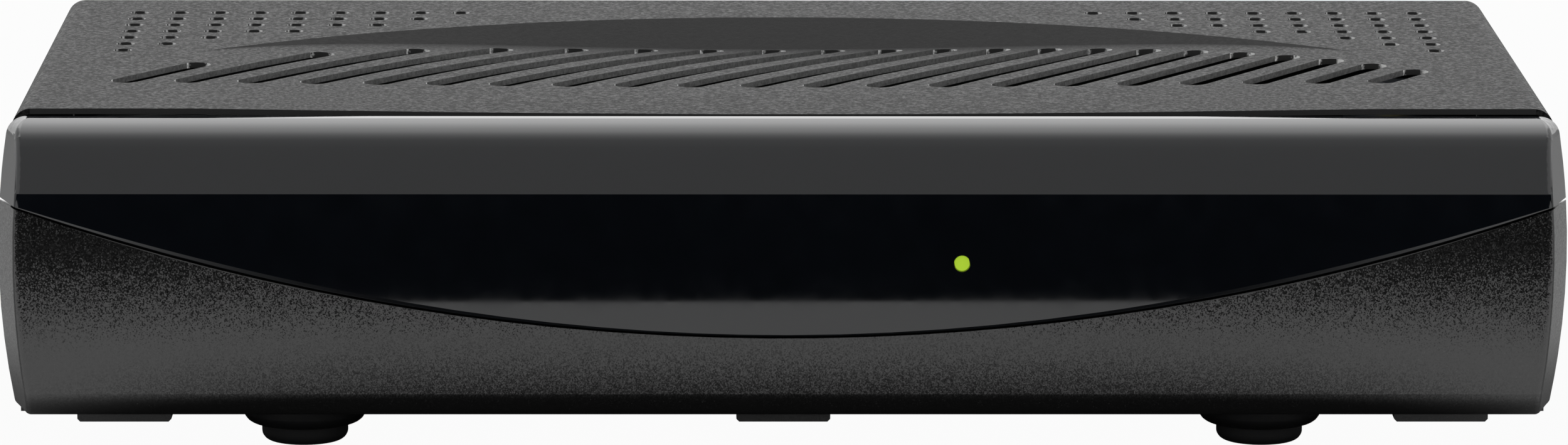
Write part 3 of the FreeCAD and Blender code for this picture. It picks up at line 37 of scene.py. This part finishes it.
def make_camera():
    """The photograph's viewpoint: a long lens, about ten degrees above the level."""
    pitch, yaw, roll = (math.radians(angle) for angle in CAMERA_TURNS)
    forward = Vector((math.sin(yaw) * math.cos(pitch), math.cos(yaw) * math.cos(pitch),
                      -math.sin(pitch)))
    right = Vector((math.cos(yaw), -math.sin(yaw), 0.0))
    up = right.cross(forward)
    turned_right = right * math.cos(roll) + up * math.sin(roll)
    turned_up = up * math.cos(roll) - right * math.sin(roll)
    data = bpy.data.cameras.new("camera")
    data.sensor_fit = "HORIZONTAL"
    data.sensor_width = CAMERA_SENSOR
    data.lens = CAMERA_LENS
    data.clip_start, data.clip_end = CAMERA_CLIP
    camera = bpy.data.objects.new("camera", data)
    bpy.context.scene.collection.objects.link(camera)
    matrix = Matrix((turned_right, turned_up, -forward)).transposed().to_4x4()
    matrix.translation = Vector(CAMERA_PLACE)
    camera.matrix_world = matrix
    bpy.context.scene.camera = camera


# --- shader helpers -------------------------------------------------------------------------

class Shader:
    """A material's node tree with short ways to add and join nodes."""

    def __init__(self, name):
        self.material = bpy.data.materials.new(name)
        self.material.use_nodes = True
        self.tree = self.material.node_tree
        self.tree.nodes.clear()
        self.out = self.add("ShaderNodeOutputMaterial")
        self.bsdf = self.add("ShaderNodeBsdfPrincipled")
        self.join(self.bsdf.outputs[0], self.out.inputs["Surface"])
        coords = self.add("ShaderNodeTexCoord")
        self.place = coords.outputs["Object"]
        self.facing = coords.outputs["Normal"]

    def add(self, kind, **settings):
        node = self.tree.nodes.new(kind)
        for name, value in settings.items():
            setattr(node, name, value)
        return node

    def join(self, source, target):
        self.tree.links.new(source, target)

    def set(self, **values):
        """Set the surface's own sockets; an underscore stands for a space in their names."""
        for name, value in values.items():
            self.bsdf.inputs[name.replace("_", " ")].default_value = value

    def noise(self, scale, detail=4.0, rough=0.5, stretch=None):
        """A noise pattern with so many grains to the metre, drawn out along an axis if asked."""
        node = self.add("ShaderNodeTexNoise")
        node.inputs["Scale"].default_value = scale
        node.inputs["Detail"].default_value = detail
        node.inputs["Roughness"].default_value = rough
        source = self.place
        if stretch:
            mapping = self.add("ShaderNodeMapping")
            mapping.inputs["Scale"].default_value = stretch
            self.join(self.place, mapping.inputs["Vector"])
            source = mapping.outputs["Vector"]
        self.join(source, node.inputs["Vector"])
        return node.outputs["Fac"]

    def ramp(self, source, stops):
        """A colour ramp: stops are (place, grey or colour)."""
        node = self.add("ShaderNodeValToRGB")
        elements = node.color_ramp.elements
        while len(elements) < len(stops):
            elements.new(0.5)
        for element, (place, colour) in zip(elements, stops):
            element.position = place
            if isinstance(colour, (int, float)):
                colour = (colour, colour, colour)
            element.color = (*colour, 1.0)
        self.join(source, node.inputs["Fac"])
        return node.outputs["Color"]

    def spread(self, source, low, high):
        """Spread a 0 to 1 value between two numbers."""
        node = self.add("ShaderNodeMapRange")
        node.inputs["To Min"].default_value = low
        node.inputs["To Max"].default_value = high
        self.join(source, node.inputs["Value"])
        return node.outputs["Result"]

    def step(self, source, low, high):
        """0 up to one value and 1 from the other, smooth between them."""
        node = self.add("ShaderNodeMapRange", interpolation_type="SMOOTHSTEP")
        node.inputs["From Min"].default_value = low
        node.inputs["From Max"].default_value = high
        self.join(source, node.inputs["Value"])
        return node.outputs["Result"]

    def part(self, source, axis):
        """One component of a vector."""
        node = self.add("ShaderNodeSeparateXYZ")
        self.join(source, node.inputs["Vector"])
        return node.outputs[axis]

    def math(self, kind, first, second):
        """A calculation on two sockets or numbers."""
        node = self.add("ShaderNodeMath", operation=kind)
        for socket, value in zip(node.inputs, (first, second)):
            if isinstance(value, (int, float)):
                socket.default_value = value
            else:
                self.join(value, socket)
        return node.outputs[0]

    def size(self, source):
        """A value without its sign."""
        return self.math("ABSOLUTE", source, 0.0)

    def below(self, source, edge):
        """1 where a value's size is below the edge, else 0."""
        return self.math("LESS_THAN", self.size(source), edge)

    def off(self, axis):
        """How far a point lies from the middle along an axis."""
        return self.size(self.part(self.place, axis))

    def power(self, axis, unit, order):
        """How far a point lies from the middle, in units of a length and raised to a power."""
        return self.math("POWER", self.math("DIVIDE", self.off(axis), unit), order)

    def blend(self, share, first, second):
        """Mix two colours or colour sockets by a share."""
        node = self.add("ShaderNodeMix", data_type="RGBA")
        self.join(share, node.inputs["Factor"])
        for name, value in (("A", first), ("B", second)):
            socket = [item for item in node.inputs if item.name == name and item.type == "RGBA"][0]
            if isinstance(value, tuple):
                socket.default_value = (*value, 1.0)
            else:
                self.join(value, socket)
        return [item for item in node.outputs if item.type == "RGBA"][0]

    def bump(self, source, strength):
        """Raise the surface by a pattern, at most by the depth of the grain."""
        node = self.add("ShaderNodeBump")
        node.inputs["Strength"].default_value = strength
        node.inputs["Distance"].default_value = GRAIN_DEPTH
        self.join(source, node.inputs["Height"])
        self.join(node.outputs["Normal"], self.bsdf.inputs["Normal"])

    def flakes(self, cells, tilt):
        """Tilt the surface at random in each cell, as metal flakes under a lacquer lie."""
        centred = self.add("ShaderNodeVectorMath", operation="SUBTRACT")
        self.join(cells, centred.inputs[0])
        centred.inputs[1].default_value = (0.5, 0.5, 0.5)
        lean = self.add("ShaderNodeVectorMath", operation="SCALE")
        self.join(centred.outputs["Vector"], lean.inputs[0])
        lean.inputs["Scale"].default_value = tilt
        leaning = self.add("ShaderNodeVectorMath", operation="ADD")
        self.join(lean.outputs["Vector"], leaning.inputs[0])
        self.join(self.facing, leaning.inputs[1])
        normal = self.add("ShaderNodeVectorMath", operation="NORMALIZE")
        self.join(leaning.outputs["Vector"], normal.inputs[0])
        self.join(normal.outputs["Vector"], self.bsdf.inputs["Normal"])


# --- materials ------------------------------------------------------------------------------

GRAIN_DEPTH = 0.0001
GLOSS_SPREAD = 0.05       # how far a plain surface's roughness goes either way
GLOSS_LEAST = 0.02


def shade(colour, factor):
    return tuple(min(1.0, part * factor) for part in colour)


def grained(name, colour, rough, metallic=0.0, grain=900.0, vary=0.12, bump=0.05, stretch=None):
    """A plain surface: slight colour and gloss variation with a fine grain."""
    shader = Shader(name)
    pattern = shader.noise(grain, stretch=stretch)
    colours = shader.ramp(pattern, [(0.3, shade(colour, 1 - vary)), (0.7, shade(colour, 1 + vary))])
    shader.join(colours, shader.bsdf.inputs["Base Color"])
    gloss = shader.spread(pattern, max(GLOSS_LEAST, rough - GLOSS_SPREAD), rough + GLOSS_SPREAD)
    shader.join(gloss, shader.bsdf.inputs["Roughness"])
    shader.set(Metallic=metallic)
    shader.bump(pattern, bump)
    return shader


SLOT_SLANT = math.radians(57.2)
ACROSS_SLOTS = (math.sin(SLOT_SLANT), -math.cos(SLOT_SLANT))
LONG_WALL_FACING = 0.985  # a slot's long walls face across the slots at least so squarely
UPRIGHT_RISE = 0.35       # a cut edge is so upright that it faces up or down by less than this
INSIDE_SIDES = 0.1055     # the cover's folded sides lie further from the middle than this
ORANGE_PEEL = {"scale": 1500.0, "detail": 3.0, "rough": 0.8}
PAINT_GREYS = [(0.40, 0.008), (0.60, 0.026)]
# the slot walls: the cover's own paint, coloured much lighter as painted light
WALL_PAINTED_LIGHT_GREYS = [(0.38, 0.09), (0.62, 0.16)]
# bare steel, rising to 0.8 for the painted glints on the burrs
STEEL_AND_GLINT_GREYS = [(0.06, 0.035), (0.16, 0.8)]
PAINT_ROUGHNESS = [(0.38, 0.30), (0.62, 0.60)]
# how close the painted glints lie
BURR_GLINTS_PER_METRE = 2600.0


def cover_paint():
    """Satin powder coat, glossy only at a low angle, with a fine orange peel.

    The long walls of the slots carry the same paint, coloured much lighter as painted light. The
    round ends and the small holes were punched later: they are bare steel, and painted glints sit
    on their burrs to the left and right.
    """
    shader = Shader("cover_paint")
    pattern = shader.noise(**ORANGE_PEEL)
    paint = shader.ramp(pattern, PAINT_GREYS)
    # painted light: a much lighter copy of the paint for the slot walls
    wall_painted_light = shader.ramp(pattern, WALL_PAINTED_LIGHT_GREYS)
    across, along = shader.part(shader.facing, "X"), shader.part(shader.facing, "Y")
    upright = shader.below(shader.part(shader.facing, "Z"), UPRIGHT_RISE)
    inside = shader.below(shader.part(shader.place, "X"), INSIDE_SIDES)
    cut_edge = shader.math("MULTIPLY", upright, inside)
    square = shader.math("ADD", shader.math("MULTIPLY", across, ACROSS_SLOTS[0]),
                         shader.math("MULTIPLY", along, ACROSS_SLOTS[1]))
    punched = shader.below(square, LONG_WALL_FACING)
    # painted glints: bright specks on the punched edges where they face sideways
    sideways = shader.math("SUBTRACT", 1.0, shader.size(along))
    burr_glint = shader.math("MULTIPLY", sideways, shader.noise(BURR_GLINTS_PER_METRE, detail=1.0))
    steel = shader.ramp(burr_glint, STEEL_AND_GLINT_GREYS)
    edge = shader.blend(punched, wall_painted_light, steel)
    shader.join(shader.blend(cut_edge, paint, edge), shader.bsdf.inputs["Base Color"])
    shader.join(shader.ramp(pattern, PAINT_ROUGHNESS), shader.bsdf.inputs["Roughness"])
    shader.set(IOR=1.105)
    shader.bump(pattern, 0.35)
    return shader.material


FLAKES_PER_METRE = 6500.0
FLAKE_TILT = 0.14
FLAKE_GREYS = [(0.0, 0.001), (0.6, 0.002), (0.85, 0.006), (1.0, 0.03)]
SATIN_GRAIN = {"scale": 3800.0, "detail": 2.0, "rough": 0.7}
SATIN_ROUGHNESS = (0.12, 0.2)
HOOK_TOP = 0.0063
HOOK_GREY = (0.006, 0.006, 0.006)
HOOK_ROUGHER = 0.4


def front_grey():
    """Satin moulding whose fine metallic fleck sparkles; its hooks below are bare and dull."""
    shader = Shader("front_grey")
    cells = shader.add("ShaderNodeTexVoronoi")
    cells.inputs["Scale"].default_value = FLAKES_PER_METRE
    shader.join(shader.place, cells.inputs["Vector"])
    fleck = shader.ramp(cells.outputs["Color"], FLAKE_GREYS)
    hook = shader.math("LESS_THAN", shader.part(shader.place, "Z"), HOOK_TOP)
    shader.join(shader.blend(hook, fleck, HOOK_GREY), shader.bsdf.inputs["Base Color"])
    satin = shader.spread(shader.noise(**SATIN_GRAIN), *SATIN_ROUGHNESS)
    rough = shader.math("ADD", satin, shader.math("MULTIPLY", hook, HOOK_ROUGHER))
    shader.join(rough, shader.bsdf.inputs["Roughness"])
    shader.set(IOR=1.7)
    shader.flakes(cells.outputs["Color"], FLAKE_TILT)
    return shader.material


def smoked_window():
    """Smoked gloss plastic, almost opaque."""
    shader = grained("smoked_window", (0.0022, 0.003, 0.0045), 0.06,
                     grain=300.0, vary=0.1, bump=0.004)
    shader.set(IOR=1.62)
    return shader.material


def lit_green():
    """Light guide that glows a little, yellow-green."""
    shader = grained("light_green", (0.30, 0.45, 0.03), 0.2, vary=0.05)
    shader.set(Emission_Color=(0.38, 0.58, 0.03, 1.0), Emission_Strength=0.6)
    return shader.material


# the plain surfaces: colour, roughness, metallic, and what differs from the usual grain
PLAIN_SLOTS = {
    "inner_black": ((0.015, 0.015, 0.016), 0.5, 0.0, {}),
    "board_green": ((0.02, 0.12, 0.05), 0.35, 0.0, {"grain": 400.0}),
    "board_brown": ((0.3, 0.2, 0.09), 0.5, 0.0, {"grain": 300.0}),
    "led_white": ((0.8, 0.82, 0.7), 0.2, 0.0, {"vary": 0.03}),
    "tray_steel": ((0.007, 0.007, 0.0075), 0.42, 0.0, {"grain": 1500.0}),
    "foot_rubber": ((0.003, 0.0031, 0.0036), 0.75, 0.0, {"grain": 1500.0, "bump": 0.1}),
    "black_screw": ((0.03, 0.03, 0.03), 0.35, 0.6, {}),
    "zinc_steel": ((0.55, 0.56, 0.58), 0.3, 1.0, {}),
    "brass_part": ((0.72, 0.58, 0.28), 0.25, 1.0, {"vary": 0.06}),
    "chip_black": ((0.03, 0.03, 0.032), 0.5, 0.0, {}),
    "sink_aluminium": ((0.6, 0.61, 0.62), 0.35, 1.0,
                       {"grain": 700.0, "vary": 0.08, "stretch": (1.0, 0.05, 1.0)}),
    "can_aluminium": ((0.3, 0.32, 0.36), 0.3, 0.8, {"vary": 0.05}),
    "tinned_steel": ((0.62, 0.63, 0.63), 0.25, 1.0, {"grain": 300.0, "vary": 0.08}),
    "nickel_plate": ((0.68, 0.66, 0.62), 0.18, 1.0, {"vary": 0.05}),
    "core_red": ((0.5, 0.02, 0.02), 0.3, 0.0, {"vary": 0.05}),
    "core_white": ((0.75, 0.75, 0.72), 0.3, 0.0, {"vary": 0.03}),
    "core_orange": ((0.75, 0.25, 0.02), 0.3, 0.0, {"vary": 0.05}),
    "rocker_black": ((0.012, 0.012, 0.012), 0.18, 0.0, {"vary": 0.05}),
    "sheet_clear": ((0.6, 0.6, 0.58), 0.3, 0.0, {"vary": 0.05}),
    "ferrite_grey": ((0.06, 0.06, 0.065), 0.55, 0.0, {"grain": 1200.0}),
    "winding_yellow": ((0.7, 0.55, 0.08), 0.4, 0.0, {"grain": 600.0}),
    "fuse_glass": ((0.75, 0.8, 0.8), 0.08, 0.0, {"vary": 0.03}),
    "cable_grey": ((0.4, 0.4, 0.41), 0.5, 0.0, {"grain": 600.0}),
    "wire_red": ((0.5, 0.03, 0.03), 0.4, 0.0, {}),
}


def make_materials():
    """A material for each slot of the record."""
    materials = {"cover_paint": cover_paint(), "front_grey": front_grey(),
                 "smoked_window": smoked_window(), "light_green": lit_green()}
    for name, (colour, rough, metallic, extra) in PLAIN_SLOTS.items():
        materials[name] = grained(name, colour, rough, metallic, **extra).material
    return materials


def dress_nodes():
    """Give each CAD node the material of its slot."""
    materials = make_materials()
    slots = {part["node"]: part["material_slot"] for part in frame["record"]["subparts"]}
    for name, obj in nodes.items():
        obj.data.materials.clear()
        obj.data.materials.append(materials[slots[name]])


def round_edges(name, width):
    """Soften the cut edges of a sheet, as paint does."""
    bevel = nodes[name].modifiers.new("edge", "BEVEL")
    bevel.width = width
    bevel.segments = 2
    bevel.limit_method = "ANGLE"
    bevel.angle_limit = math.radians(50)
    bevel.use_clamp_overlap = False


# --- stage and light ------------------------------------------------------------------------

STAGE_REACH = 4.2
SHEET_NEAR = -0.162            # the white sheet ends here, in front of the object
SHEET_WHITE = 0.96             # how far the sheet shows white by itself
SHEET_DULL = {"Roughness": 0.9, "Specular_IOR_Level": 0.0}
FRONT_END = (-0.075, -0.05)    # the sheet turns from its front to its darker rear part, as painted shade, between these
# painted shade: beside and behind the object the sheet is darker, in its colour and in gloss
FRONT_PALE, REAR_PALE = 0.9, 0.22
FRONT_WHITE, REAR_WHITE = 1.0, 0.1
PAINTED_SHADOW_HALF = (0.13, 0.109)    # half the width and depth of the painted shadow under the object
PAINTED_SHADOW_FADE = (0.45, 1.3)      # it fades out between these, where 1 is its outline
# the painted shadow's grey in the sheet's own colour
PAINTED_SHADOW_GREY = 0.08
GROUND_LEVEL = -0.002
GROUND_GREY = (0.008, 0.008, 0.008, 1.0)


def stage_piece(name, corners, faces, material):
    mesh = bpy.data.meshes.new(name)
    mesh.from_pydata(corners, [], faces)
    piece = bpy.data.objects.new(name, mesh)
    bpy.context.scene.collection.objects.link(piece)
    mesh.materials.append(material)
    return piece


def flat_sheet(name, near, far, height, material):
    """A level sheet between two distances, as wide as the stage."""
    side = STAGE_REACH
    corners = [(-side, near, height), (side, near, height),
               (side, far, height), (-side, far, height)]
    return stage_piece(name, corners, [(0, 1, 2, 3)], material)


def make_floor():
    """A white sheet that ends in front of the object, and the dark ground that its gloss shows.

    The camera sees the sheet white, and so do gloss and glass in front of the object. Beside and
    behind it they see it darker, as painted shade, and under it they see a painted shadow.
    """
    shader = Shader("floor_white")
    # painted shadow: 0 inside an outline round the object, 1 clear of it
    away = shader.math("ADD", shader.power("X", PAINTED_SHADOW_HALF[0], 4.0),
                       shader.power("Y", PAINTED_SHADOW_HALF[1], 2.0))
    clear = shader.step(away, *PAINTED_SHADOW_FADE)
    behind = shader.step(shader.part(shader.place, "Y"), *FRONT_END)
    pale = shader.math("MULTIPLY", clear,
                       shader.ramp(behind, [(0.0, FRONT_PALE), (1.0, REAR_PALE)]))
    shader.join(shader.ramp(pale, [(0.0, PAINTED_SHADOW_GREY), (1.0, 1.0)]),
                shader.bsdf.inputs["Base Color"])
    shader.set(**SHEET_DULL)
    seen = shader.add("ShaderNodeEmission")
    path = shader.add("ShaderNodeLightPath")
    mirrored = shader.math("MAXIMUM", path.outputs["Is Glossy Ray"],
                           path.outputs["Is Transmission Ray"])
    white = shader.math("MULTIPLY", clear,
                        shader.ramp(behind, [(0.0, FRONT_WHITE), (1.0, REAR_WHITE)]))
    shown = shader.math("MAXIMUM", path.outputs["Is Camera Ray"],
                        shader.math("MULTIPLY", mirrored, white))
    mix = shader.add("ShaderNodeMixShader")
    shader.join(shader.math("MULTIPLY", shown, SHEET_WHITE), mix.inputs["Fac"])
    shader.join(shader.bsdf.outputs[0], mix.inputs[1])
    shader.join(seen.outputs[0], mix.inputs[2])
    shader.join(mix.outputs[0], shader.out.inputs["Surface"])
    flat_sheet("floor", SHEET_NEAR, STAGE_REACH, 0.0, shader.material)
    dark = Shader("ground_dark")
    dark.set(Base_Color=GROUND_GREY, **SHEET_DULL)
    ground = flat_sheet("ground", -STAGE_REACH, SHEET_NEAR, GROUND_LEVEL, dark.material)
    ground.visible_camera = False


# brightness of the tent from the front horizon (0) over the top (0.5) to the rear horizon (1)
TENT = [(0.0, 0.60), (0.42, 0.60), (0.50, 0.70), (0.56, 1.25), (0.61, 2.0), (0.65, 2.3),
        (0.69, 2.6), (0.74, 2.8), (0.79, 2.4), (0.88, 1.5), (0.943, 1.58), (1.0, 1.52)]
TENT_MOST = 2.8
TENT_SIDES = (1.6, 2.8)        # between these the brightness goes over to a plain 1
TENT_STEPS = 36


def make_tent():
    """A white barrel tent: one long soft box high behind, dimmer overhead and on the near side."""
    shader = Shader("tent_light")
    towards = shader.math("MULTIPLY", shader.part(shader.place, "Y"), -1.0)
    over = shader.math("ARCTAN2", shader.part(shader.place, "Z"), towards)
    turn = shader.math("DIVIDE", over, math.pi)
    share = shader.ramp(turn, [(place, level / TENT_MOST) for place, level in TENT])
    aside = shader.step(shader.off("X"), *TENT_SIDES)
    middle = shader.math("MULTIPLY", shader.math("MULTIPLY", share, TENT_MOST),
                         shader.math("SUBTRACT", 1.0, aside))
    light = shader.add("ShaderNodeEmission")
    shader.join(shader.math("ADD", middle, aside), light.inputs["Strength"])
    shader.join(light.outputs[0], shader.out.inputs["Surface"])
    angles = [math.pi * step / TENT_STEPS for step in range(TENT_STEPS + 1)]
    arc = [(-STAGE_REACH * math.cos(angle), STAGE_REACH * math.sin(angle)) for angle in angles]
    corners = [(x, y, z) for x in (-STAGE_REACH, STAGE_REACH) for y, z in arc]
    count = len(arc)
    faces = [(i, i + 1, i + 1 + count, i + count) for i in range(count - 1)]
    faces += [tuple(range(count)), tuple(range(count, 2 * count))]
    tent = stage_piece("tent", corners, faces, shader.material)
    tent.visible_camera = False


def make_world():
    """White behind everything; the tent keeps it off the object."""
    world = bpy.data.worlds.new("white")
    bpy.context.scene.world = world
    world.use_nodes = True
    back = world.node_tree.nodes["Background"]
    back.inputs["Color"].default_value = (1.0, 1.0, 1.0, 1.0)
    back.inputs["Strength"].default_value = 1.0


# --- the scene ------------------------------------------------------------------------------

make_camera()
dress_nodes()
round_edges("top_cover", 0.0003)
make_floor()
make_tent()
make_world()
bpy.context.scene.view_settings.view_transform = "Standard"
